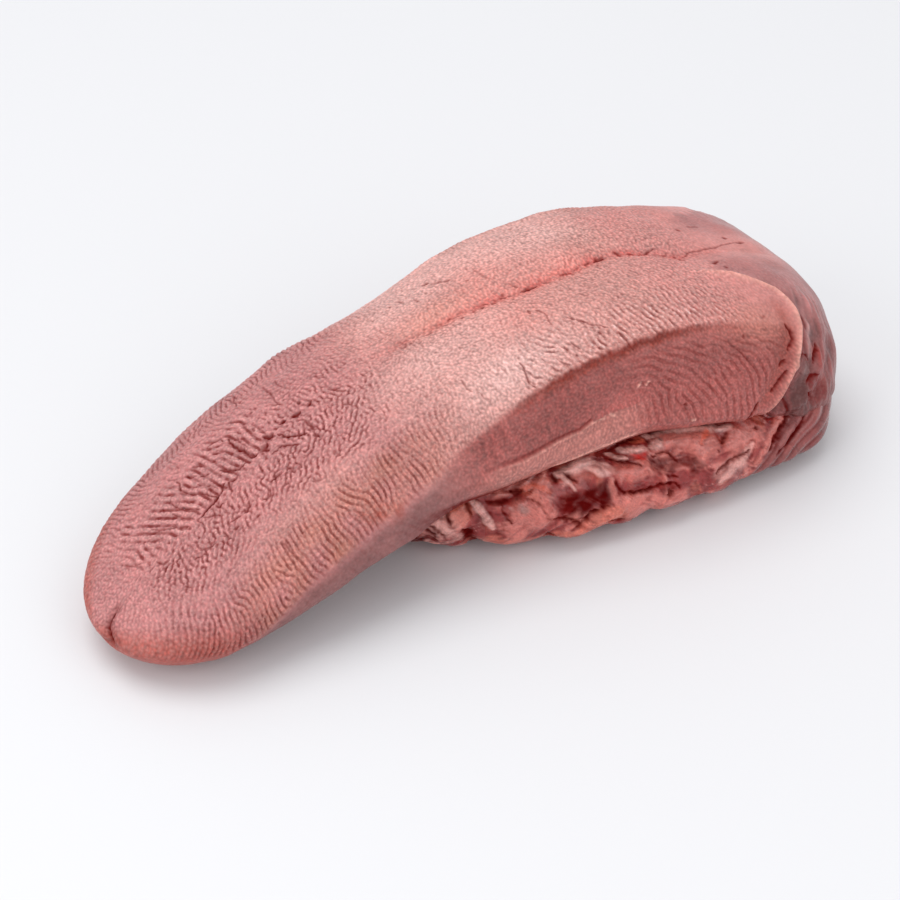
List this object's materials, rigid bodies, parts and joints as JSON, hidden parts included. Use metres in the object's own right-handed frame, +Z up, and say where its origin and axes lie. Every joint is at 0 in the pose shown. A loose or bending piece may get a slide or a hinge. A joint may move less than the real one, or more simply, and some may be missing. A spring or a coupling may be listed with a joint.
{
  "type": "raw beef tongue",
  "caption": "Whole raw beef tongue lying on its cut root, with a thin arched blade, rough back, furrow, and muscle and fat under the base.",
  "frame": {"origin": "on the resting surface, under the centre of the tongue's box", "axes": "+X along the tongue from its tip to the cut root, +Y across it to the far side, +Z up"},
  "size_m": [0.344, 0.1426, 0.0937],
  "materials": {
    "raw_flesh": "moist greyish pink skin with fine papillae, darker pink flank, and pale fat and red muscle at the cut root"
  },
  "bodies": {
    "root": {"tongue": "raw_flesh"}
  },
  "joints": []
}
